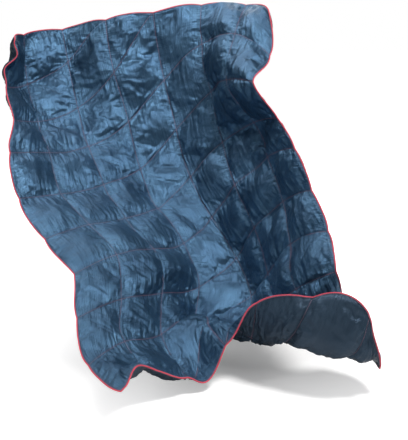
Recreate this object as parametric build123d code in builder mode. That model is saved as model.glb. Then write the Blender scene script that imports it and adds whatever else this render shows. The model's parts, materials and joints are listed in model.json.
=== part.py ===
from build123d import *
import os

import numpy as np

# Quilted camp blanket, tossed open in mid air: a face fabric and a lining fabric, sewn through to each
# other along a lattice of seams, with a separate down chamber in every cell and piping round the edge.
# Millimetres. +X is to the right, +Y is away from the side whose face fabric is seen, +Z is up.
# The origin is the middle of the head hem, where the blanket is held.

# ---- Driving dimensions ------------------------------------------------------------------------------
BLANKET_WIDTH = 1370.0  # across the sheet, hem to hem, when it lies flat
BLANKET_LENGTH = 1830.0  # along the sheet, head to foot, when it lies flat
COLUMNS = 7  # cells across
ROWS = 9  # cells along
CELL_WIDTH = BLANKET_WIDTH / COLUMNS
CELL_LENGTH = BLANKET_LENGTH / ROWS

CHAMBER_LOFT = 19.0  # height of a chamber's crown above the stitched plane, on each side
CHAMBER_CLEARANCE = 3.5  # from a chamber to the fabric over it
CHAMBER_SEAM_GAP = 3.0  # from a seam to the chamber beside it
CHAMBER_PROFILE = (0.0, 0.92, 0.92, 0.0)  # height across a cell, from seam to seam, in thirds

FABRIC_THICKNESS = 0.6
FABRIC_GAP = 0.25  # from the stitched plane to each fabric
THREAD_RADIUS = 0.5
THREAD_LIFT = 0.4  # thread above the fabric in the bottom of its valley
THREAD_HEM_MARGIN = 4.0  # the quilting threads stop this far inside every hem
EDGE_THREAD_INSET = 1.0  # the edge's own thread runs this far inside the fabric's edge
EDGE_THREAD_LIFT = 0.5  # and this much higher than the quilting threads, because the fabric rises inwards

PIPING_RADIUS = 4.0  # outside of the piping's cover
PIPING_CORD_RADIUS = 2.7
PIPING_COVER_WALL = 1.0
PIPING_GAP = 0.4  # from the fabric's edge to the cover
JOIN_COLUMN = 2  # the piping's ends meet on the foot hem, this many columns from the left edge
JOIN_GAP = 0.5  # between the two ends
BEND = 6.0  # radius of each small bend of a thread or of the piping
STRAIGHT_ANGLE = 0.4  # degrees: a thread that turns less than this at a point runs straight through it

# How many rows a cross seam has climbed towards the head where it crosses each edge and long seam.
# The cross seams run level at both sides and climb two rows between the second and fifth long seams.
SEAM_CLIMB = (0.0, 0.0, 0.3, 0.85, 1.7, 2.2, 2.1, 2.0)
HEM_SNAP = 0.4  # a cross seam that comes this near a hem, in rows, ends there

# ---- The tossed shape --------------------------------------------------------------------------------
# One rib for each side edge and each long seam, from the left edge to the right. Each rib has one point
# at every station, from the head hem to the foot hem, given in rows. Heights are over the ground.
STATIONS = (0, 1, 2, 3, 4, 5, 6, 7, 7.8, 8.5, 9)
RIBS = (
    # left edge, turned forward as far as the fourth row
    ((-620, 450, 1060), (-660, 440, 880), (-610, 310, 760), (-600, 170, 650), (-550, 50, 500),
     (-440, -80, 380), (-320, -220, 290), (-290, -400, 190), (-250, -550, 110), (-180, -680, 90),
     (-120, -770, 90)),
    ((-620, 640, 1070), (-610, 610, 870), (-550, 490, 730), (-480, 330, 630), (-420, 200, 490),
     (-300, 60, 400), (-190, -90, 320), (-160, -250, 210), (-150, -390, 140), (-90, -510, 80),
     (-50, -600, 90)),
    ((-480, 770, 1090), (-440, 700, 900), (-390, 600, 720), (-330, 450, 590), (-250, 310, 460),
     (-150, 180, 360), (-40, 30, 280), (-30, -120, 140), (-20, -270, 80), (40, -380, 10),
     (70, -480, 20)),
    # from here to the right the foot turns up and forward into a lip
    ((-290, 720, 1130), (-260, 640, 950), (-200, 600, 750), (-150, 520, 560), (-80, 400, 410),
     (30, 260, 310), (100, 140, 170), (90, -10, 40), (130, -140, 110), (140, -280, 120),
     (190, -400, 100)),
    ((-90, 690, 1160), (-60, 660, 950), (-10, 600, 750), (40, 510, 560), (120, 390, 410),
     (220, 270, 270), (290, 130, 150), (290, -50, 80), (280, -230, 70), (280, -360, 130),
     (290, -400, 240)),
    ((110, 690, 1190), (110, 600, 1000), (160, 520, 810), (200, 430, 620), (250, 270, 480),
     (320, 130, 340), (360, -30, 210), (380, -200, 140), (380, -360, 100), (410, -490, 180),
     (460, -490, 280)),
    ((290, 610, 1190), (240, 460, 1060), (210, 360, 890), (320, 330, 730), (360, 170, 620),
     (400, 20, 480), (420, -140, 360), (430, -320, 250), (500, -440, 150), (590, -540, 130),
     (630, -550, 230)),
    # right edge, turned forward all the way
    ((370, 440, 1170), (370, 340, 1000), (300, 190, 910), (390, 160, 780), (440, 0, 690),
     (490, -120, 560), (530, -270, 450), (540, -410, 350), (590, -330, 190), (660, -380, 80),
     (680, -480, 50)),
)
# Between the second and third long seams the foot hem droops to a point.
FLARE_COLUMN = 2.5  # where across the foot hem the droop is deepest
FLARE_COLUMNS = 0.55  # how far it reaches to each side, in columns
FLARE_ROWS = 1.0  # how far it reaches up from the foot hem, in rows
FLARE_DROP = 50.0

STEPS = len(CHAMBER_PROFILE) - 1
LONG_SEAMS = range(1, COLUMNS)
CROSS_SEAMS = range(1, ROWS + 2)
COLUMN_LINES = np.arange(COLUMNS + 1.0)
RIB_POINTS = np.array(RIBS, float)


# ---- Where things are on the sheet -------------------------------------------------------------------
def through(stations, values, position):
    """The smooth curve that passes the values at the stations, read at one position."""
    stations = np.asarray(stations, float)
    slopes = np.gradient(values, stations, axis=0, edge_order=2)
    k = int(np.clip(np.searchsorted(stations, position, side="right") - 1, 0, len(stations) - 2))
    span = stations[k + 1] - stations[k]
    s = (position - stations[k]) / span
    start = (2 * s**3 - 3 * s**2 + 1) * values[k] + (s**3 - 2 * s**2 + s) * span * slopes[k]
    end = (3 * s**2 - 2 * s**3) * values[k + 1] + (s**3 - s**2) * span * slopes[k + 1]
    return start + end


def stitched_plane(column, row):
    """The point of the sheet's stitched plane at a place given in columns and rows."""
    across = through(STATIONS, RIB_POINTS.swapaxes(0, 1), row)
    from_flare = ((column - FLARE_COLUMN) / FLARE_COLUMNS) ** 2 + ((row - ROWS) / FLARE_ROWS) ** 2
    drop = FLARE_DROP * max(0.0, 1.0 - from_flare) ** 2
    return through(COLUMN_LINES, across, column) - np.array([0.0, 0.0, drop])


RIB_POINTS -= stitched_plane(COLUMNS / 2, 0)  # brings the middle of the head hem to the origin


def directions(column, row):
    """Unit vectors at a place: along the column lines, across them, and out of the face side."""
    step = 0.02
    along = stitched_plane(column, row + step) - stitched_plane(column, row - step)
    across = stitched_plane(column + step, row) - stitched_plane(column - step, row)
    out = np.cross(along, across)
    return [v / np.linalg.norm(v) for v in (along, across, out)]


PLACES = {}  # points and face directions already worked out


def place(column, row):
    """The point of the stitched plane at a place, and the direction out of the face side there."""
    key = (round(float(column), 6), round(float(row), 6))
    if key not in PLACES:
        PLACES[key] = (stitched_plane(column, row), directions(column, row)[2])
    return PLACES[key]


def on_sheet(column, row, height):
    """The point at a place, raised off the stitched plane towards the face side."""
    point, out = place(column, row)
    return point + out * height


def seam_row(seam, column):
    """The row where a cross seam is, at a place across the sheet. Past a hem it lies on the hem."""
    knots = []
    for climb in SEAM_CLIMB:
        row = float(np.clip(seam - climb, 0, ROWS))
        if row < HEM_SNAP:
            row = 0.0
        if row > ROWS - HEM_SNAP:
            row = float(ROWS)
        knots.append(row)
    return float(np.clip(through(COLUMN_LINES, np.array(knots), column), 0, ROWS))


def chamber_seams(column):
    """The cross seams at the head of each chamber in a column, leaving out cells with no area."""
    found = []
    for seam in range(ROWS + 2):
        left = seam_row(seam + 1, column) - seam_row(seam, column)
        right = seam_row(seam + 1, column + 1) - seam_row(seam, column + 1)
        if left + right > HEM_SNAP:
            found.append(seam)
    return found


def cell_grid(column, seam, inset):
    """A cell's points in steps both ways, each with its name, position, face direction and loft share.

    An inset moves the rim points into the cell, in a straight line to the points beside them.
    """
    side = STEPS + 1
    names = {}
    points = np.zeros((side, side, 3))
    outs = np.zeros((side, side, 3))
    for i in range(side):
        across = column + i / STEPS
        head = seam_row(seam, across)
        foot = seam_row(seam + 1, across)
        for j in range(side):
            row = head + (foot - head) * j / STEPS
            points[i, j], outs[i, j] = place(across, row)
            names[i, j] = (column, seam, i, j) if inset else (round(across, 6), round(row, 6))
    for grid in (points, outs):
        for lines in (grid, grid.swapaxes(0, 1)):
            lines[0] += (lines[1] - lines[0]) * inset
            lines[-1] += (lines[-2] - lines[-1]) * inset
    profile = CHAMBER_PROFILE
    return [
        [(names[i, j], points[i, j], outs[i, j], profile[i] * profile[j]) for j in range(side)]
        for i in range(side)
    ]


def cell_facets(column, seam, inset):
    """A cell's points joined into triangles, each seen anticlockwise from the face side."""
    grid = cell_grid(column, seam, inset)
    facets = []
    for i in range(STEPS):
        for j in range(STEPS):
            a, b = grid[i][j], grid[i][j + 1]
            c, d = grid[i + 1][j + 1], grid[i + 1][j]
            ridge_ac = a[3] + c[3] > b[3] + d[3]
            for facet in ((a, b, c), (a, c, d)) if ridge_ac else ((a, b, d), (b, c, d)):
                if len({name for name, *_ in facet}) == 3:
                    facets.append(facet)
    return facets


# ---- Solids from flat facets -------------------------------------------------------------------------
def closed_solid(facets):
    """One solid whose surface is the given flat facets."""
    faces = [Face(Wire.make_polygon([Vector(*p) for p in facet], close=True)) for facet in facets]
    return Solid(Shell(faces))


def raised(corner, height):
    """A facet's corner raised off the stitched plane to the height for its share of the loft."""
    _, point, out, loft = corner
    return point + out * height(loft)


def layer(facets, low, high):
    """The solid between two heights over the sheet, each given by the share of the loft."""
    surface = []
    edges = {}
    for facet in facets:
        surface.append([raised(corner, high) for corner in facet])
        surface.append([raised(corner, low) for corner in reversed(facet)])
        for start, end in zip(facet, facet[1:] + facet[:1]):
            if (end[0], start[0]) in edges:
                del edges[end[0], start[0]]
            else:
                edges[start[0], end[0]] = (start, end)
    if high(0.0) > low(0.0):
        for start, end in edges.values():
            a, b = raised(start, low), raised(end, low)
            c, d = raised(end, high), raised(start, high)
            surface.extend(([a, b, c], [a, c, d]))
    return closed_solid(surface)


# ---- Paths along the seams and the edge --------------------------------------------------------------
def long_seam_places(column):
    """Places down a long seam, in steps of each cell, from the head hem to the foot hem."""
    rows = []
    for seam in range(ROWS + 2):
        head, foot = seam_row(seam, column), seam_row(seam + 1, column)
        if foot > head:
            rows.extend(head + (foot - head) * j / STEPS for j in range(STEPS))
    return [(float(column), row) for row in rows] + [(float(column), float(ROWS))]


def cross_seam_places(seam):
    """Places along a cross seam, in steps of each cell, where it isn't on a hem."""
    steps = [i / STEPS for i in range(COLUMNS * STEPS + 1)]
    inside = [0 < seam_row(seam, column) < ROWS for column in steps]
    first = inside.index(True)
    last = len(inside) - 1 - inside[::-1].index(True)
    first = max(first - 1, 0)
    last = min(last + 1, len(steps) - 1)
    return [(column, seam_row(seam, column)) for column in steps[first : last + 1]]


def thread_points(places, height):
    """The middle of a thread that follows places on the sheet at one height, clear of every hem."""
    column_margin = THREAD_HEM_MARGIN / CELL_WIDTH
    row_margin = THREAD_HEM_MARGIN / CELL_LENGTH
    points = []
    for column, row in places:
        column = np.clip(column, column_margin, COLUMNS - column_margin)
        row = np.clip(row, row_margin, ROWS - row_margin)
        points.append(Vector(*on_sheet(column, row, height)))
    return turning(points)


def edge_points(offset, height):
    """Points round the edge, at an offset out from the fabric's edge and a height off the sheet.

    They start and end on the foot hem, where the ends of the piping meet.
    """
    across = [i / STEPS for i in range(1, COLUMNS * STEPS)]
    down = [j / STEPS for j in range(1, ROWS * STEPS)]
    head = [(0, 0, -1, -1)] + [(column, 0, 0, -1) for column in across]
    right = [(COLUMNS, 0, 1, -1)] + [(COLUMNS, row, 1, 0) for row in down]
    foot = [(COLUMNS, ROWS, 1, 1)] + [(column, ROWS, 0, 1) for column in reversed(across)]
    left = [(0, ROWS, -1, 1)] + [(0, row, -1, 0) for row in reversed(down)]
    join = JOIN_COLUMN * STEPS
    points = []
    for column, row, to_right, to_foot in foot[-join:] + left + head + right + foot[:-join]:
        along_sheet, across_sheet, out = directions(column, row)
        from_side = np.cross(out, along_sheet) * to_right
        from_end = np.cross(across_sheet, out) * to_foot
        away = (from_side + from_end) / (1.0 + from_side @ from_end)
        points.append(Vector(*(on_sheet(column, row, height) + away * offset)))
    return cut_open(points)


def turning(points):
    """The points where a path turns, with those left out that lie on a straight run."""
    kept = [points[0]]
    for here, there in zip(points[1:], points[2:]):
        if (here - kept[-1]).get_angle(there - here) > STRAIGHT_ANGLE:
            kept.append(here)
    return kept + [points[-1]]


def cut_open(loop):
    """A closed loop of points, cut open in the middle of its last run with a small gap."""
    run = loop[0] - loop[-1]
    middle = loop[-1] + run * 0.5
    half_gap = run.normalized() * (JOIN_GAP / 2)
    return [middle + half_gap] + loop + [middle - half_gap]


def start_plane(path):
    """The plane square to a path at its start."""
    return Plane(origin=path @ 0, z_dir=path % 0)


# ---- Fabrics -----------------------------------------------------------------------------------------
os.makedirs("parts", exist_ok=True)

all_facets = []
for column in range(COLUMNS):
    for seam in chamber_seams(column):
        all_facets.extend(cell_facets(column, seam, inset=0.0))

with BuildPart() as face_fabric:
    add(
        layer(
            all_facets,
            low=lambda loft: FABRIC_GAP + CHAMBER_LOFT * loft,
            high=lambda loft: FABRIC_GAP + CHAMBER_LOFT * loft + FABRIC_THICKNESS,
        )
    )
face_fabric.part.label = "face_fabric"
export_step(face_fabric.part, "parts/face_fabric.step")

with BuildPart() as lining_fabric:
    add(
        layer(
            all_facets,
            low=lambda loft: -(FABRIC_GAP + CHAMBER_LOFT * loft + FABRIC_THICKNESS),
            high=lambda loft: -(FABRIC_GAP + CHAMBER_LOFT * loft),
        )
    )
lining_fabric.part.label = "lining_fabric"
export_step(lining_fabric.part, "parts/lining_fabric.step")

# ---- Down filling: a separate chamber in every cell, one node for each column -------------------------
filling_height = CHAMBER_LOFT - CHAMBER_CLEARANCE
filling_inset = CHAMBER_SEAM_GAP / (CELL_WIDTH / STEPS)
for column in range(COLUMNS):
    with BuildPart() as down_filling:
        for seam in chamber_seams(column):
            add(
                layer(
                    cell_facets(column, seam, filling_inset),
                    low=lambda loft: -filling_height * loft,
                    high=lambda loft: filling_height * loft,
                )
            )
    name = f"down_filling_{column + 1}"
    down_filling.part.label = name
    export_step(down_filling.part, f"parts/{name}.step")

# ---- Quilting threads: a run on each side of every seam -----------------------------------------------
long_height = FABRIC_GAP + FABRIC_THICKNESS + THREAD_LIFT + THREAD_RADIUS
cross_height = long_height + 2 * THREAD_RADIUS + THREAD_LIFT

for column in LONG_SEAMS:
    with BuildPart() as long_stitching:
        for side in (1, -1):
            with BuildLine() as run:
                FilletPolyline(*thread_points(long_seam_places(column), side * long_height), radius=BEND)
            with BuildSketch(start_plane(run.wire())):
                Circle(THREAD_RADIUS)
            sweep(path=run.wire())
    name = f"long_stitching_{column}"
    long_stitching.part.label = name
    export_step(long_stitching.part, f"parts/{name}.step")

for seam in CROSS_SEAMS:
    with BuildPart() as cross_stitching:
        for side in (1, -1):
            with BuildLine() as run:
                FilletPolyline(*thread_points(cross_seam_places(seam), side * cross_height), radius=BEND)
            with BuildSketch(start_plane(run.wire())):
                Circle(THREAD_RADIUS)
            sweep(path=run.wire())
    name = f"cross_stitching_{seam}"
    cross_stitching.part.label = name
    export_step(cross_stitching.part, f"parts/{name}.step")

# ---- Edge: piping cord inside its folded cover, and the thread that closes the edge --------------------
piping_offset = PIPING_RADIUS + PIPING_GAP

with BuildLine() as piping_route:
    FilletPolyline(*edge_points(piping_offset, 0.0), radius=BEND)

with BuildPart() as piping_cover:
    with BuildSketch(start_plane(piping_route.wire())):
        Circle(PIPING_RADIUS)
        Circle(PIPING_RADIUS - PIPING_COVER_WALL, mode=Mode.SUBTRACT)
    sweep(path=piping_route.wire())
piping_cover.part.label = "piping_cover"
export_step(piping_cover.part, "parts/piping_cover.step")

with BuildPart() as piping_cord:
    with BuildSketch(start_plane(piping_route.wire())):
        Circle(PIPING_CORD_RADIUS)
    sweep(path=piping_route.wire())
piping_cord.part.label = "piping_cord"
export_step(piping_cord.part, "parts/piping_cord.step")

edge_height = long_height + EDGE_THREAD_LIFT
with BuildPart() as edge_stitching:
    for side in (1, -1):
        with BuildLine() as run:
            FilletPolyline(*edge_points(-EDGE_THREAD_INSET, side * edge_height), radius=BEND)
        with BuildSketch(start_plane(run.wire())):
            Circle(THREAD_RADIUS)
        sweep(path=run.wire())
edge_stitching.part.label = "edge_stitching"
export_step(edge_stitching.part, "parts/edge_stitching.step")
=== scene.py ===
import json
import math

import bmesh
import bpy
import numpy as np
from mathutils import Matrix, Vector

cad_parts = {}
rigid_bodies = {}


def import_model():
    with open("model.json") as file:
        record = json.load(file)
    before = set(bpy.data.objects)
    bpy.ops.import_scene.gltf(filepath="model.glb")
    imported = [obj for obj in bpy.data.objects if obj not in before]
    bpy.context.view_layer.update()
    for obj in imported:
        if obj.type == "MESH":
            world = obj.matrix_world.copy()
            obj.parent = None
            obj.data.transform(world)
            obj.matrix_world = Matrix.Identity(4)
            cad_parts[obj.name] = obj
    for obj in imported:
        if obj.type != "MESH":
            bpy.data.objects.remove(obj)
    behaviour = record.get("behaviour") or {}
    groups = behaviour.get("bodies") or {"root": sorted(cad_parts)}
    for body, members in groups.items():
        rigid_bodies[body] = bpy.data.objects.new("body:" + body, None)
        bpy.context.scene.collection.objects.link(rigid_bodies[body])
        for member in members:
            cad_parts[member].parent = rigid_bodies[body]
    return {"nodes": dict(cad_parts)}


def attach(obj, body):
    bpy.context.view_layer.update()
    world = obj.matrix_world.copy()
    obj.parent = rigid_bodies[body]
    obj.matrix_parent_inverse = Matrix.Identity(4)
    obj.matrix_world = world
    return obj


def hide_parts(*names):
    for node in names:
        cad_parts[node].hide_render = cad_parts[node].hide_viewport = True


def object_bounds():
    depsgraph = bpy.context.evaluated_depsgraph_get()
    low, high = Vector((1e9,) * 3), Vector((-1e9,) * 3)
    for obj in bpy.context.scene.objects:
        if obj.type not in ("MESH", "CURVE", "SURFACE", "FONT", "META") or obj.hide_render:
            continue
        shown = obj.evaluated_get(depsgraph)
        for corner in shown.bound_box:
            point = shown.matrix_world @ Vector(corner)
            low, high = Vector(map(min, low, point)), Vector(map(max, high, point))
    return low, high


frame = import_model()
cad_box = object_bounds()

# ---- The sheet: the same ribs and seams as the CAD model, in metres --------------------------
COLUMNS, ROWS = 7, 9  # cells across and down
WIDTH, LENGTH = 1.37, 1.83  # of the sheet when it lies flat
CELL_WIDTH, CELL_LENGTH = WIDTH / COLUMNS, LENGTH / ROWS
COLUMN_LINES = np.arange(COLUMNS + 1.0)
STATIONS = np.array([0, 1, 2, 3, 4, 5, 6, 7, 7.8, 8.5, 9])  # the rows that each rib's points are at
RIBS_MM = (
    ((-620, 450, 1060), (-660, 440, 880), (-610, 310, 760), (-600, 170, 650), (-550, 50, 500),
     (-440, -80, 380), (-320, -220, 290), (-290, -400, 190), (-250, -550, 110), (-180, -680, 90),
     (-120, -770, 90)),
    ((-620, 640, 1070), (-610, 610, 870), (-550, 490, 730), (-480, 330, 630), (-420, 200, 490),
     (-300, 60, 400), (-190, -90, 320), (-160, -250, 210), (-150, -390, 140), (-90, -510, 80),
     (-50, -600, 90)),
    ((-480, 770, 1090), (-440, 700, 900), (-390, 600, 720), (-330, 450, 590), (-250, 310, 460),
     (-150, 180, 360), (-40, 30, 280), (-30, -120, 140), (-20, -270, 80), (40, -380, 10),
     (70, -480, 20)),
    ((-290, 720, 1130), (-260, 640, 950), (-200, 600, 750), (-150, 520, 560), (-80, 400, 410),
     (30, 260, 310), (100, 140, 170), (90, -10, 40), (130, -140, 110), (140, -280, 120),
     (190, -400, 100)),
    ((-90, 690, 1160), (-60, 660, 950), (-10, 600, 750), (40, 510, 560), (120, 390, 410),
     (220, 270, 270), (290, 130, 150), (290, -50, 80), (280, -230, 70), (280, -360, 130),
     (290, -400, 240)),
    ((110, 690, 1190), (110, 600, 1000), (160, 520, 810), (200, 430, 620), (250, 270, 480),
     (320, 130, 340), (360, -30, 210), (380, -200, 140), (380, -360, 100), (410, -490, 180),
     (460, -490, 280)),
    ((290, 610, 1190), (240, 460, 1060), (210, 360, 890), (320, 330, 730), (360, 170, 620),
     (400, 20, 480), (420, -140, 360), (430, -320, 250), (500, -440, 150), (590, -540, 130),
     (630, -550, 230)),
    ((370, 440, 1170), (370, 340, 1000), (300, 190, 910), (390, 160, 780), (440, 0, 690),
     (490, -120, 560), (530, -270, 450), (540, -410, 350), (590, -330, 190), (660, -380, 80),
     (680, -480, 50)),
)
RIBS = np.array(RIBS_MM) / 1000.0
SEAM_CLIMB = (0.0, 0.0, 0.3, 0.85, 1.7, 2.2, 2.1, 2.0)  # rows that a cross seam climbs, by column line
HEM_SNAP = 0.4  # a cross seam that comes this near a hem, in rows, ends there
# Small local shapes: column, row, reach in columns and in rows, then how far it moves the sheet.
TWEAKS = (
    (2.5, 9.0, 0.55, 1.0, (0.0, 0.0, -0.050)),  # the foot hem droops to a point, as in the CAD model
    (0.7, 9.0, 0.55, 0.45, (-0.008, -0.020, 0.030)),  # a small fold near the foot's left corner
    (0.75, 8.62, 0.5, 0.36, (0.004, 0.012, -0.026)),
    (0.0, 0.32, 0.45, 0.28, (0.026, 0.0, 0.0)),  # the hook under the head's left corner
    (0.0, 0.62, 0.35, 0.3, (-0.012, 0.0, 0.0)),
    (5.55, 9.0, 0.75, 0.8, (0.0, 0.0, 0.030)),  # the lip's top runs level, then turns down at a corner
    (6.45, 9.0, 0.55, 0.8, (-0.024, 0.0, 0.0)),
)
CRUMPLE = 0.012  # how far the sheet wanders from the ribs' smooth surface
CRUMPLE_WAVES = ((0.9, 1.0, 41), (1.9, 0.6, 42))  # bumps a cell, share, noise layer
CRUMPLE_FADE = 0.9  # cells from a hem, over which the crumple grows from nothing
RIB_STEP, PLANE_STEP = 0.1, 0.02  # cells to each side that a surface's directions are read over
NOISE = np.random.default_rng(7).uniform(-1, 1, (256, 256))


def unit(vectors):
    return vectors / np.maximum(np.linalg.norm(vectors, axis=-1, keepdims=True), 1e-12)


def dot(a, b):
    return np.einsum("nc,nc->n", a, b)


def smooth(x, low, high):
    """Rises smoothly from 0 at low to 1 at high."""
    t = np.clip((x - low) / (high - low), 0, 1)
    return t * t * (3 - 2 * t)


def noise(x, y, layer):
    """Smooth seeded noise from -1 to 1, with one bump about every unit of x and of y."""
    x, y = x + 37.7 * layer, y + 11.3 * layer
    i, j = np.floor(x).astype(int), np.floor(y).astype(int)
    fx, fy = x - i, y - j
    fx, fy = fx * fx * (3 - 2 * fx), fy * fy * (3 - 2 * fy)
    i, j, i1, j1 = i % 256, j % 256, (i + 1) % 256, (j + 1) % 256
    low = NOISE[i, j] * (1 - fx) + NOISE[i1, j] * fx
    return low * (1 - fy) + (NOISE[i, j1] * (1 - fx) + NOISE[i1, j1] * fx) * fy


def weights(stations, positions):
    """Weights that read the smooth curve through the stations at every position."""
    count = len(stations)
    values = np.eye(count)
    slopes = np.gradient(values, stations, axis=0, edge_order=2)
    k = np.clip(np.searchsorted(stations, positions, side="right") - 1, 0, count - 2)
    span = (stations[k + 1] - stations[k])[:, None]
    s = (positions - stations[k])[:, None] / span
    start = (2 * s**3 - 3 * s**2 + 1) * values[k] + (s**3 - 2 * s**2 + s) * span * slopes[k]
    end = (3 * s**2 - 2 * s**3) * values[k + 1] + (s**3 - s**2) * span * slopes[k + 1]
    return start + end


def rib_points(column, row):
    """Points of the smooth surface through the ribs at many places."""
    across, down = weights(COLUMN_LINES, column), weights(STATIONS, row)
    return np.einsum("ni,ijc,nj->nc", across, RIBS, down, optimize=True)


def slopes_of(surface, column, row, step):
    """A surface's differences down the sheet and across it at many places."""
    along = surface(column, row + step) - surface(column, row - step)
    across = surface(column + step, row) - surface(column - step, row)
    return along, across


def plane_points(column, row):
    """Points of the stitched plane at many places: the ribs' surface, crumpled and tweaked."""
    column, row = np.asarray(column, float), np.asarray(row, float)
    points = rib_points(column, row)
    along, across = slopes_of(rib_points, column, row, RIB_STEP)
    to_side, to_end = np.minimum(column, COLUMNS - column), np.minimum(row, ROWS - row)
    inside = smooth(np.minimum(to_side, to_end), 0.0, CRUMPLE_FADE)
    crumple = sum(share * noise(column * bumps, row * bumps, layer)
                  for bumps, share, layer in CRUMPLE_WAVES)
    points += unit(np.cross(along, across)) * (CRUMPLE * crumple * inside)[:, None]
    for at_column, at_row, columns, rows, move in TWEAKS:
        from_tweak = ((column - at_column) / columns) ** 2 + ((row - at_row) / rows) ** 2
        points += np.clip(1 - from_tweak, 0, 1)[:, None] ** 2 * np.array(move)
    return points


RIBS -= plane_points([COLUMNS / 2], [0.0])[0]  # the origin is the middle of the head hem


def directions(column, row):
    """Unit vectors down the sheet, across it and out of its face side, at many places."""
    along, across = slopes_of(plane_points, column, row, PLANE_STEP)
    return unit(along), unit(across), unit(np.cross(along, across))


def seam_rows(column):
    """The row of every cross seam, hems included, at many places across the sheet."""
    reader = weights(COLUMN_LINES, np.asarray(column, float))
    rows = []
    for seam in range(ROWS + 3):
        knots = np.clip(seam - np.array(SEAM_CLIMB), 0, ROWS)
        knots = np.where(knots < HEM_SNAP, 0.0, knots)
        knots = np.where(knots > ROWS - HEM_SNAP, float(ROWS), knots)
        rows.append(np.clip(reader @ knots, 0, ROWS))
    return np.array(rows)


# ---- A mesh grid whose lines follow the seams ------------------------------------------------
COARSE, FINE = 26, 52  # mesh steps across a cell: for the cloth, and of the finished mesh
SAME_PLACE = 2e-4  # rows: places on one line that are nearer than this are one
ON_LINE, ON_WAVE, ON_HEM = 1e-6, 1e-4, 1e-4  # cells: how near a place on a seam is to it
FULL_ROOM = 0.75  # rows: a cell this long is blown up fully
SCALLOP = 0.009  # how far a hem bulges between two seams
SCALLOP_REACH = 0.35  # cells in from the hem that move with it
SCALLOP_SHAPE = 2.5  # a higher power gives a flatter bulge
SCALLOP_WOBBLE, WOBBLE_BUMPS = 0.4, 1.7  # how uneven the bulges are, and how often they change
SQUEEZE_STEP = 0.06  # cells to each side that the squeeze of the drape is measured over
FULL_SLACK = 0.22  # a squeeze by this much gives all the spare cloth


class Grid:
    """Places on the sheet, where each is in its cell, and the faces between them."""

    def __init__(self, steps):
        lines = np.arange(COLUMNS * steps + 1) / steps
        wave = np.arange((ROWS + 2) * steps + 1) / steps  # counts seams and parts of them, not rows
        seams = seam_rows(lines)
        k = np.minimum(wave.astype(int), ROWS + 1)
        row = seams[k].T + (seams[k + 1].T - seams[k].T) * (wave - k)
        same = np.zeros(row.shape, bool)
        same[:, 1:] = np.diff(row, axis=1) < SAME_PLACE
        same, row = same.ravel(), row.ravel()
        self.ids = (np.cumsum(~same) - 1).reshape(len(lines), len(wave))
        self.column = np.repeat(lines, len(wave))[~same]
        self.row = row[~same]
        # at the head, a place shared by flattened cells belongs to the last of them; at the foot, the first
        every_wave = np.tile(wave, len(lines))
        at_head = (row < ROWS / 2) & same
        self.wave = every_wave[~same].copy()
        np.maximum.at(self.wave, self.ids.ravel()[at_head], every_wave[at_head])
        self.faces = self.rings()
        at_place = seam_rows(self.column)
        k = np.clip(np.floor(self.wave + 1e-9).astype(int), 0, ROWS + 1)
        n = np.arange(len(k))
        self.head, self.foot = at_place[k, n], at_place[k + 1, n]
        self.s = self.column - np.minimum(np.floor(self.column), COLUMNS - 1)
        span = np.maximum(self.foot - self.head, 1e-6)
        self.t = np.clip((self.row - self.head) / span, 0, 1)
        self.room = smooth(self.foot - self.head, 0.0, FULL_ROOM)
        on_long = np.abs(self.column - np.round(self.column)) < ON_LINE
        on_cross = np.abs(self.wave - np.round(self.wave)) < ON_WAVE
        self.seam = on_long | on_cross | (self.row < ON_HEM) | (self.row > ROWS - ON_HEM)
        self.along, self.across, self.out = directions(self.column, self.row)
        self.plane = plane_points(self.column, self.row) + self.scallop()

    def rings(self):
        """Faces between the grid lines; where two corners are one place, a triangle or nothing."""
        ids = self.ids
        rings = np.stack([ids[:-1, :-1], ids[:-1, 1:], ids[1:, 1:], ids[1:, :-1]], -1).reshape(-1, 4)
        faces = []
        for ring in rings.tolist():
            face = [a for n, a in enumerate(ring) if a != ring[n - 1]]
            if len(face) >= 3 and len(set(face)) == len(face):
                faces.append(face)
        return faces

    def scallop(self):
        """The hems bulge a little outwards between the ends of the seams."""
        def arch(x):
            return 1 - np.abs(2 * x - 1) ** SCALLOP_SHAPE

        def near(x):
            return np.clip(1 - x / SCALLOP_REACH, 0, 1) ** 2

        side = (near(COLUMNS - self.column) - near(self.column)) * arch(self.t) * self.room
        end = (near(ROWS - self.row) - near(self.row)) * arch(self.s)
        wobble = 1 + SCALLOP_WOBBLE * noise(self.column * WOBBLE_BUMPS, self.row * WOBBLE_BUMPS, 3)
        return SCALLOP * wobble[:, None] * (self.across * side[:, None] + self.along * end[:, None])

    def distances(self):
        """Metres from each place to the long seam and to the cross seam nearest to it."""
        to_long = np.minimum(self.s, 1 - self.s) * CELL_WIDTH
        to_cross = np.minimum(self.t, 1 - self.t) * (self.foot - self.head) * CELL_LENGTH
        return to_long, to_cross

    def hem_distance(self):
        """Metres from each place to the hem nearest to it."""
        return np.minimum(np.minimum(self.column, COLUMNS - self.column) * CELL_WIDTH,
                          np.minimum(self.row, ROWS - self.row) * CELL_LENGTH)

    def slack(self):
        """How much spare cloth each place has, from how far the drape squeezes it."""
        c, r = self.column, self.row
        low_c, high_c = np.clip(c - SQUEEZE_STEP, 0, COLUMNS), np.clip(c + SQUEEZE_STEP, 0, COLUMNS)
        low_r, high_r = np.clip(r - SQUEEZE_STEP, 0, ROWS), np.clip(r + SQUEEZE_STEP, 0, ROWS)
        across = np.linalg.norm(plane_points(high_c, r) - plane_points(low_c, r), axis=1)
        along = np.linalg.norm(plane_points(c, high_r) - plane_points(c, low_r), axis=1)
        across, along = across / ((high_c - low_c) * CELL_WIDTH), along / ((high_r - low_r) * CELL_LENGTH)
        return smooth(1 / np.clip(np.minimum(across, along), 0.6, 1.2) - 1, 0.0, FULL_SLACK)


coarse, fine = Grid(COARSE), Grid(FINE)


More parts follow.
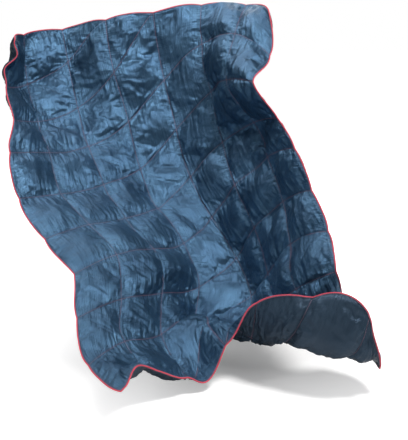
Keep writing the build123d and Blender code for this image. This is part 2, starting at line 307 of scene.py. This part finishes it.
# ---- Objects ---------------------------------------------------------------------------------
def new_object(name, points, faces):
    mesh = bpy.data.meshes.new(name)
    mesh.from_pydata(np.asarray(points).tolist(), [], faces)
    mesh.update()
    piece = bpy.data.objects.new(name, mesh)
    bpy.context.scene.collection.objects.link(piece)
    return piece


def closed_object(name, points, faces):
    """A smooth object whose faces all point outwards."""
    piece = new_object(name, points, faces)
    mesh = bmesh.new()
    mesh.from_mesh(piece.data)
    bmesh.ops.recalc_face_normals(mesh, faces=mesh.faces)
    mesh.to_mesh(piece.data)
    mesh.free()
    piece.data.shade_smooth()
    return piece


def points_of(mesh):
    flat = np.empty(len(mesh.vertices) * 3)
    mesh.vertices.foreach_get("co", flat)
    return flat.reshape(-1, 3)


# ---- The two fabrics: cells blown up as cloth, then puckered ---------------------------------
LOFT = 0.0185  # crown of a cell over the stitched plane, before the cloth is blown up
SKIN = 0.0006  # each fabric's height over the stitched plane along the seams
DOME = 0.72  # a lower power gives a dome that is fuller near the seams
UNEVEN, UNEVEN_BUMPS = 0.25, 2.3  # how much the lofts differ, and how often they change
LEAST_SLOPE, LEAST_REACH = 0.10, 0.02  # the fabric keeps at least this steep beside a seam, this far
CLOTH_FRAMES = 16
CLOTH_CAP = 0.009  # no place moves further than this in the simulation
SPARE_LEVELS = 20  # the spare cloth is set in this many steps
CLOTH = {
    "quality": 4, "mass": 0.15, "bending_stiffness": 0.02, "bending_damping": 0.2, "air_damping": 2,
    "tension_stiffness": 25, "compression_stiffness": 25, "shear_stiffness": 8,
    "tension_damping": 8, "compression_damping": 8, "shear_damping": 8,
    "vertex_group_mass": "held", "pin_stiffness": 1.0,
    "vertex_group_shrink": "spare", "shrink_min": -0.02, "shrink_max": -0.085,  # negative: it grows
    "use_pressure": True, "uniform_pressure_force": 1.2,
}
# Gathers beside a seam: spacing along it, length away from it, shift between the sides, share, layer.
GATHERS = ((0.0105, 0.13, 3.1, 1.0, 0), (0.0062, 0.08, 1.7, 0.8, 2))
GATHER_START = 0.005  # metres from the seam over which the gathers rise
CROSS_REACH, LONG_REACH = 0.075, 0.030  # metres from a seam over which they fade
CROSS_HEIGHT, LONG_HEIGHT, FAN_HEIGHT, CREASE_HEIGHT, SMALL_HEIGHT = 0.0036, 0.0032, 0.0036, 0.0020, 0.0010
FAN_FOLDS, FAN_START, FAN_REACH = 7.0, 0.014, 0.07
LINING_FAN, LINING_CREASE = 1.7, 2.4  # the lining is the squeezed side at the foot
SHADE_REACH = {"by_long": 0.024, "by_cross": 0.075}  # how far from a seam the material draws gathers, and the painted light and shade that goes with them


def dome(x):
    return np.power(np.clip(1 - np.abs(2 * x - 1) ** 2.0, 0, 1), DOME)


def puffed_height(grid, side):
    """Height of one side's fabric over the stitched plane before it is blown up."""
    uneven = 1 + UNEVEN * noise(grid.column * UNEVEN_BUMPS, grid.row * UNEVEN_BUMPS, 5 + side)
    height = SKIN + LOFT * dome(grid.s) * dome(grid.t) * grid.room * uneven
    return np.where(grid.seam, SKIN, height)


def faces_of(grid, side):
    return grid.faces if side > 0 else [face[::-1] for face in grid.faces]


def blown_up(side):
    """Blows the cells of one side up as cloth held along the seams; returns each place's move."""
    start = coarse.plane + coarse.out * (side * puffed_height(coarse, side))[:, None]
    piece = new_object("cloth", start, faces_of(coarse, side))
    held = piece.vertex_groups.new(name="held")
    held.add([int(k) for k in np.flatnonzero(coarse.seam)], 1.0, "REPLACE")
    spare = piece.vertex_groups.new(name="spare")
    share = np.round(coarse.slack() * SPARE_LEVELS) / SPARE_LEVELS
    for value in np.unique(share):
        spare.add([int(k) for k in np.flatnonzero(share == value)], float(value), "REPLACE")
    cloth = piece.modifiers.new("cloth", "CLOTH")
    for key, value in CLOTH.items():
        setattr(cloth.settings, key, value)
    cloth.settings.effector_weights.gravity = 0
    cloth.collision_settings.use_collision = False
    cloth.point_cache.frame_start = 1
    cloth.point_cache.frame_end = CLOTH_FRAMES
    for number in range(1, CLOTH_FRAMES + 1):
        bpy.context.scene.frame_set(number)
    view = piece.evaluated_get(bpy.context.evaluated_depsgraph_get())
    step = points_of(view.to_mesh()) - start
    view.to_mesh_clear()
    bpy.context.scene.frame_set(1)
    bpy.data.objects.remove(piece)
    far = np.linalg.norm(step, axis=1, keepdims=True)
    return start + step * (CLOTH_CAP * np.tanh(far / CLOTH_CAP) / np.maximum(far, 1e-9)) - coarse.plane


def doubled(values, steps):
    """Values on grid lines, with a smooth one put between every two; each cell on its own."""
    new = np.empty((2 * (len(values) - 1) + 1,) + values.shape[1:])
    new[::2] = values
    for first in range(0, len(values) - 1, steps):
        block = values[first : first + steps + 1]
        middle = (block[1:] + block[:-1]) / 2
        middle[1:-1] = (9 * (block[1:-2] + block[2:-1]) - block[:-3] - block[3:]) / 16
        new[2 * first + 1 : 2 * (first + steps) : 2] = middle
    return new


def puckers(side):
    """Fine gathers that run square to every seam, and creases that fan out of the cells' corners."""
    x, y = fine.column * CELL_WIDTH, fine.row * CELL_LENGTH
    to_long, to_cross = fine.distances()
    nearest = np.minimum(to_long, to_cross)
    bend = 0.9 * noise(x / 0.05, y / 0.05, 9 * side)

    def gathers(place, away, reach, layer):
        waves = sum(share * noise(place / spacing + bend, away / length + shift * side, layer + more)
                    for spacing, length, shift, share, more in GATHERS)
        return waves * (1 - np.exp(-away / GATHER_START)) * np.exp(-away / reach)

    by_cross = gathers(x, to_cross, CROSS_REACH, 11)
    by_long = gathers(y, to_long, LONG_REACH, 15)
    angle = np.arctan2(to_cross, to_long)
    from_corner = np.hypot(to_cross, to_long)
    corner = np.round(fine.column) * 7.3 + np.round(fine.wave) * 3.9  # every corner has folds of its own
    fan = noise(angle * FAN_FOLDS, from_corner / 0.1 + corner, 21 + side)
    fan *= (1 - np.exp(-from_corner / FAN_START)) * np.exp(-from_corner / FAN_REACH)
    crease = 1 - 2 * np.abs(noise(x / 0.05 + 0.6 * bend, y / 0.085, 25 + side))
    crease *= smooth(nearest, 0.01, 0.045)
    small = noise(x / 0.02, y / 0.024, 29 + side) * smooth(nearest, 0.004, 0.03)
    if side < 0:
        fan, crease = LINING_FAN * fan, LINING_CREASE * crease
    height = (CROSS_HEIGHT * by_cross + LONG_HEIGHT * by_long + FAN_HEIGHT * fan
              + CREASE_HEIGHT * crease + SMALL_HEIGHT * small)
    squeezed = 0.75 + 0.7 * fine.slack()
    calm_hem = 0.25 + 0.75 * smooth(fine.hem_distance(), 0.0, 0.035)
    return height * squeezed * (0.35 + 0.65 * fine.room) * calm_hem


def quilted_side(name, side):
    move = doubled(blown_up(side)[coarse.ids], COARSE)
    move = doubled(move.swapaxes(0, 1), COARSE).swapaxes(0, 1)
    offset = np.empty_like(fine.plane)
    offset[fine.ids.ravel()] = move.reshape(-1, 3)
    to_long, to_cross = fine.distances()
    outwards = dot(offset, fine.out)
    least = SKIN + LEAST_SLOPE * np.minimum(np.minimum(to_long, to_cross), LEAST_REACH)
    height = np.where(fine.seam, SKIN, np.maximum(outwards * side + puckers(side), least))
    level = offset - fine.out * outwards[:, None]
    points = fine.plane + level + fine.out * (side * height)[:, None]
    piece = new_object(name, points, faces_of(fine, side))
    mesh = piece.data
    mesh.shade_smooth()
    flat = mesh.attributes.new("flat", "FLOAT_VECTOR", "POINT")
    place = np.stack([fine.column * CELL_WIDTH, fine.row * CELL_LENGTH, np.full(len(points), side * 1.0)], 1)
    flat.data.foreach_set("vector", place.ravel())
    for label, away in (("by_long", to_long), ("by_cross", to_cross)):
        near = mesh.attributes.new(label, "FLOAT", "POINT")
        near.data.foreach_set("value", np.exp(-away / SHADE_REACH[label]))
    return piece


face = quilted_side("quilt_face", 1)
lining = quilted_side("quilt_lining", -1)


# ---- Stitches and piping ---------------------------------------------------------------------
STITCH, THREAD_RADIUS = 0.0052, 0.00075
# Rings of a stitch: how far along it, in stitches, and how high over the fabric.
STITCH_RINGS = ((-0.46, -0.0006), (-0.3, 0.0009), (0.3, 0.0009), (0.46, -0.0006))
STITCH_CORNERS = ((0, 1), (1, 0), (0, -1), (-1, 0))
SEAM_MARGIN = 0.02  # cells: the seams' stitches stop this far inside the hems that they run to
HEM_MARGIN = 0.012  # rows: nor do cross stitches run nearer than this to a hem beside them
SEAM_PLACES, FEWEST_PLACES = 900, 20
EDGE_INSET, EDGE_LIFT = 0.0012, 0.0010  # where the edge thread runs: in from the hem, over the fabric
PIPING_RADIUS, PIPING_SIDES = 0.0021, 10
PIPING_PLACE = 0.8  # the piping's middle is this many radii outside the hem
PIPING_LUMPS = 0.10  # how uneven its radius is


def seam_line(column, row):
    """Points along a path on the sheet, and the directions out of its face side there."""
    return plane_points(column, row), directions(column, row)[2]


def evenly(far, values):
    """Values read every stitch along a path, from how far along it they are."""
    at = np.arange(0, far[-1], STITCH)
    return np.stack([np.interp(at, far, part) for part in values.T], 1)


def stitches(name, lines, lift=0.0):
    """Short tubes whose ends dip into the fabric, on both sides of the sheet."""
    rings, corners = len(STITCH_RINGS), len(STITCH_CORNERS)
    blocks = []
    for line, sides_out in lines:
        far = np.concatenate([[0], np.cumsum(np.linalg.norm(np.diff(line, axis=0), axis=1))])
        middle, out = evenly(far, line), unit(evenly(far, sides_out))
        heading = unit(np.gradient(middle, axis=0))
        aside = unit(np.cross(out, heading))
        for side in (1, -1):
            tube = []
            for shift, height in STITCH_RINGS:
                centre = middle + heading * (shift * STITCH) + out * (side * (SKIN + lift + height))
                for a, b in STITCH_CORNERS:
                    tube.append(centre + aside * (a * THREAD_RADIUS) + out * (b * THREAD_RADIUS * side))
            blocks.append(np.stack(tube, 1).reshape(-1, 3))
    points = np.concatenate(blocks)
    quads = [(corners * r + k, corners * r + (k + 1) % corners,
              corners * (r + 1) + (k + 1) % corners, corners * (r + 1) + k)
             for r in range(rings - 1) for k in range(corners)]
    quads += [(3, 2, 1, 0), (12, 13, 14, 15)]  # the two ends
    faces = [tuple(first + k for k in quad)
             for first in range(0, len(points), rings * corners) for quad in quads]
    return closed_object(name, points, faces)


def seam_lines():
    """The paths of the long seams, and of the cross seams."""
    down = np.linspace(SEAM_MARGIN, ROWS - SEAM_MARGIN, SEAM_PLACES)
    across = np.linspace(SEAM_MARGIN, COLUMNS - SEAM_MARGIN, SEAM_PLACES)
    long_lines = [seam_line(np.full(SEAM_PLACES, float(c)), down) for c in range(1, COLUMNS)]
    cross_lines = []
    for row in seam_rows(across)[1 : ROWS + 2]:
        inside = (row > HEM_MARGIN) & (row < ROWS - HEM_MARGIN)
        if inside.sum() > FEWEST_PLACES:
            cross_lines.append(seam_line(across[inside], row[inside]))
    return long_lines, cross_lines


def hem_ids():
    """The fine mesh's places round the hem, once each, in order."""
    ids = fine.ids
    ring = np.concatenate([ids[:, 0], ids[-1, :], ids[::-1, -1], ids[0, ::-1]])
    ring = ring[np.concatenate([[True], ring[1:] != ring[:-1]])]
    return ring[:-1] if ring[0] == ring[-1] else ring


def hem_line(ring):
    """Points round the hem, and the directions away from the sheet and out of its face side."""
    path, out = fine.plane[ring], fine.out[ring]
    heading = unit(np.roll(path, -1, 0) - np.roll(path, 1, 0))
    away = unit(np.cross(heading, out))
    column, row = fine.column[ring, None], fine.row[ring, None]
    outward = np.where(column < ON_LINE, -fine.across[ring], 0)
    outward = outward + np.where(column > COLUMNS - ON_LINE, fine.across[ring], 0)
    outward = outward + np.where(row < ON_LINE, -fine.along[ring], 0)
    outward = outward + np.where(row > ROWS - ON_LINE, fine.along[ring], 0)
    return path, away * np.sign(dot(away, outward))[:, None], out


def piping():
    """A slightly lumpy tube all round the hem."""
    path, away, out = hem_line(hem_ids()[::2])
    count = len(path)
    radius = PIPING_RADIUS * (1 + PIPING_LUMPS * noise(np.arange(count) / 3.0, np.zeros(count), 31))
    middle = path + away * PIPING_RADIUS * PIPING_PLACE
    turns = [2 * math.pi * k / PIPING_SIDES for k in range(PIPING_SIDES)]
    points = np.stack([middle + (away * math.cos(turn) + out * math.sin(turn)) * radius[:, None]
                       for turn in turns], 1).reshape(-1, 3)
    faces = []
    for n in range(count):
        here, there = n * PIPING_SIDES, (n + 1) % count * PIPING_SIDES
        for k in range(PIPING_SIDES):
            j = (k + 1) % PIPING_SIDES
            faces.append((here + k, here + j, there + j, there + k))
    return closed_object("piping", points, faces)


edge_piping = piping()
long_lines, cross_lines = seam_lines()
hem, away, hem_out = hem_line(hem_ids())
long_stitches = stitches("long_stitches", long_lines)
cross_stitches = stitches("cross_stitches", cross_lines)
edge_stitches = stitches("edge_stitches", [(hem - away * EDGE_INSET, hem_out)], lift=EDGE_LIFT)


# ---- Materials -------------------------------------------------------------------------------
class Nodes:
    """A material under construction: makes nodes and joins them."""

    def __init__(self, name, **values):
        self.material = bpy.data.materials.new(name)
        self.material.use_nodes = True
        self.tree = self.material.node_tree
        self.shader = self.tree.nodes["Principled BSDF"]
        for key, value in values.items():
            self.shader.inputs[key.replace("_", " ")].default_value = value

    def add(self, kind, settings=(), **inputs):
        """A node; an input named i0, i1 and so on is given by its number."""
        node = self.tree.nodes.new("ShaderNode" + kind)
        for key, value in dict(settings).items():
            setattr(node, key, value)
        for key, value in inputs.items():
            numbered = key[0] == "i" and key[1:].isdigit()
            socket = node.inputs[int(key[1:]) if numbered else key.replace("_", " ")]
            if isinstance(value, bpy.types.NodeSocket):
                self.tree.links.new(value, socket)
            else:
                socket.default_value = value
        return node

    def join(self, socket, name):
        self.tree.links.new(socket, self.shader.inputs[name])

    def attribute(self, name, output):
        return self.add("Attribute", {"attribute_name": name}).outputs[output]

    def wave(self, direction, vector, scale, distortion=0.0):
        return self.add("TexWave", {"bands_direction": direction}, Vector=vector, Scale=scale,
                        Distortion=distortion).outputs["Fac"]

    def math(self, operation, a, b):
        return self.add("Math", {"operation": operation}, i0=a, i1=b).outputs[0]

    def stretched(self, vector, scale, detail=2.0):
        """Noise stretched to a scale of its own on each axis."""
        place = self.add("Mapping", Vector=vector, Scale=scale).outputs[0]
        return self.add("TexNoise", Vector=place, Scale=1.0, Detail=detail, Roughness=0.55).outputs[0]

    def bump(self, height, strength, distance):
        bumps = self.add("Bump", Strength=strength, Distance=distance, Height=height)
        self.join(bumps.outputs[0], "Normal")

    def color(self, factor, *stops):
        """Joins a colour ramp to the shader's base colour."""
        node = self.add("ValToRGB", i0=factor)
        while len(node.color_ramp.elements) < len(stops):
            node.color_ramp.elements.new(0.5)
        for element, (place, color) in zip(node.color_ramp.elements, stops):
            element.position = place
            element.color = color
        self.join(node.outputs[0], "Base Color")


def nylon(name, dark, middle, light, metallic, roughness):
    """Thin woven nylon: satin sheen, fine gathers by the seams, faint colour variation, painted light and
    shade on the gathers, and painted shade in the seam valleys.
    """
    n = Nodes(name, Metallic=metallic)
    flat = n.attribute("flat", "Vector")
    by_long, by_cross = n.attribute("by_long", "Fac"), n.attribute("by_cross", "Fac")
    beside_cross = n.math("MULTIPLY", n.stretched(flat, (210, 10, 1)), by_cross)
    beside_long = n.math("MULTIPLY", n.stretched(flat, (10, 210, 1)), by_long)
    gathers = n.math("ADD", beside_cross, beside_long)
    crinkle = n.stretched(flat, (60, 60, 1), 4.0)
    weave = n.math("MULTIPLY", n.math("ADD", n.wave("X", flat, 500.0), n.wave("Y", flat, 500.0)), 0.02)
    height = n.math("ADD", n.math("ADD", gathers, n.math("MULTIPLY", crinkle, 0.4)), weave)
    n.bump(height, 1.0, 0.0042)
    mottle = n.stretched(flat, (9, 9, 1), 3.0)
    # random mottle, plus painted light and shade: the colour is lighter on the gathers' ridges and darker in
    # their hollows
    tone = n.math("ADD", n.math("MULTIPLY", mottle, 0.7), n.math("MULTIPLY", gathers, 0.45))
    # painted shade: the base colour darkens in the narrow valleys along the long and cross seams
    long_valley_shade = n.math("MULTIPLY", n.math("POWER", by_long, 5.0), 0.3)
    cross_valley_shade = n.math("MULTIPLY", n.math("POWER", by_cross, 15.0), 0.3)
    tone = n.math("SUBTRACT", tone, n.math("ADD", long_valley_shade, cross_valley_shade))
    n.color(tone, (0.05, dark), (0.45, middle), (0.78, light))
    n.join(n.math("ADD", n.math("MULTIPLY", crinkle, 0.14), roughness), "Roughness")
    return n.material


def spun(name, base, other, roughness, scale):
    """Thread or woven tape: fine twisted grain, and two tones of its colour."""
    n = Nodes(name, Roughness=roughness)
    place = n.add("TexCoord").outputs["Object"]
    grain = n.stretched(place, (scale, scale, scale), 3.0)
    n.bump(n.math("ADD", grain, n.wave("DIAGONAL", place, scale * 0.6, 1.5)), 0.5, 0.0004)
    n.color(grain, (0.3, base), (0.72, other))
    return n.material


blue = nylon("face_nylon", (0.009, 0.026, 0.052, 1), (0.042, 0.10, 0.177, 1), (0.081, 0.18, 0.295, 1),
             metallic=0.75, roughness=0.26)
navy = nylon("lining_nylon", (0.010, 0.023, 0.042, 1), (0.024, 0.048, 0.080, 1), (0.040, 0.074, 0.118, 1),
             metallic=0.6, roughness=0.29)
thread = spun("stitch_thread", (0.20, 0.11, 0.17, 1), (0.34, 0.21, 0.29, 1), roughness=0.55, scale=1400)
tape = spun("piping_tape", (0.64, 0.045, 0.08, 1), (0.80, 0.10, 0.15, 1), roughness=0.62, scale=900)

for piece, material in ((face, blue), (lining, navy), (long_stitches, thread), (cross_stitches, thread),
                        (edge_stitches, thread), (edge_piping, tape)):
    piece.data.materials.append(material)
    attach(piece, "root")

nodes = list(frame["nodes"])
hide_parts("face_fabric", *[n for n in nodes if n.startswith("down_filling")])
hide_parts("lining_fabric")
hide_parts(*[n for n in nodes if n.startswith("long_stitching")])
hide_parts(*[n for n in nodes if n.startswith("cross_stitching")])
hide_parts("edge_stitching")
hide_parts("piping_cover", "piping_cord")

# ---- Camera, lights, floor -------------------------------------------------------------------
CAMERA_PLACE = (0.3106, -4.0754, 0.0024)
CAMERA_TILT = 78  # degrees up from looking straight down
FOCAL_LENGTH = 960 / 408  # in widths of the view
FLOOR_DROP = 0.02  # the floor is this far under the lowest point of the CAD model
FLOOR_GLOW = 0.22  # under the blanket; further out the glow lifts the paper to white
GLOW_CENTRE = (0.5, -0.72)  # on the floor
GLOW_REACH = (0.2, 0.95)  # metres from that centre where the glow starts to rise, and where it is full
WORLD_LIGHT = 0.055

scene = bpy.context.scene
cam = bpy.data.cameras.new("camera")
camera = bpy.data.objects.new("camera", cam)
scene.collection.objects.link(camera)
camera.location = CAMERA_PLACE
camera.rotation_euler = (math.radians(CAMERA_TILT), 0, 0)
cam.sensor_fit = "HORIZONTAL"
cam.sensor_width = 36
cam.lens = FOCAL_LENGTH * cam.sensor_width
cam.clip_end = 100
scene.camera = camera
scene.view_settings.view_transform = "Standard"

bpy.ops.mesh.primitive_plane_add(size=60, location=(0, 0, cad_box[0][2] - FLOOR_DROP))
floor = bpy.context.object
floor.name = "floor"
paper = Nodes("floor_paper", Base_Color=(0.86, 0.85, 0.84, 1), Roughness=0.95, Specular_IOR_Level=0.1,
              Emission_Color=(1, 1, 1, 1))
spot = paper.add("Mapping", Vector=paper.add("TexCoord").outputs["Object"],
                 Location=(-GLOW_CENTRE[0], -GLOW_CENTRE[1], 0)).outputs[0]
far = paper.add("VectorMath", {"operation": "LENGTH"}, i0=spot).outputs["Value"]
glow = paper.add("MapRange", i0=far, i1=GLOW_REACH[0], i2=GLOW_REACH[1], i3=FLOOR_GLOW, i4=1.0).outputs[0]
seen = paper.add("LightPath").outputs["Is Camera Ray"]  # the glow is seen, but lights nothing
paper.join(paper.math("MULTIPLY", glow, seen), "Emission Strength")
floor.data.materials.append(paper.material)

# The world is white where the camera sees it, and a dim cool light for everything else.
world = bpy.data.worlds.new("studio")
scene.world = world
world.use_nodes = True
tree = world.node_tree
shown = tree.nodes["Background"]
shown.inputs["Color"].default_value = (1, 1, 1, 1)
shown.inputs["Strength"].default_value = 1.0
lit = tree.nodes.new("ShaderNodeBackground")
lit.inputs["Color"].default_value = (0.93, 0.97, 1, 1)
lit.inputs["Strength"].default_value = WORLD_LIGHT
rays = tree.nodes.new("ShaderNodeLightPath")
mix = tree.nodes.new("ShaderNodeMixShader")
tree.links.new(rays.outputs["Is Camera Ray"], mix.inputs[0])
tree.links.new(lit.outputs[0], mix.inputs[1])
tree.links.new(shown.outputs[0], mix.inputs[2])
tree.links.new(mix.outputs[0], tree.nodes["World Output"].inputs[0])

# Name, place, what it points at, side in metres, power in watts.
LIGHTS = (
    ("key", (1.7, -2.5, 2.9), (0.0, 0.0, -0.5), 1.0, 178),
    ("overhead", (-0.9, 0.6, 2.7), (0.1, -0.2, -0.8), 1.4, 72),
    ("fill", (-3.0, -2.8, 0.8), (0.3, -0.2, -0.6), 0.8, 30),
    ("back", (0.6, 3.4, 1.6), (0.2, 0.0, -0.6), 2.0, 45),
)
for name, place, target, side, power in LIGHTS:
    data = bpy.data.lights.new(name, "AREA")
    data.shape = "SQUARE"
    data.size = side
    data.energy = power
    lamp = bpy.data.objects.new(name, data)
    scene.collection.objects.link(lamp)
    lamp.location = place
    lamp.rotation_euler = (Vector(target) - Vector(place)).to_track_quat("-Z", "Y").to_euler()
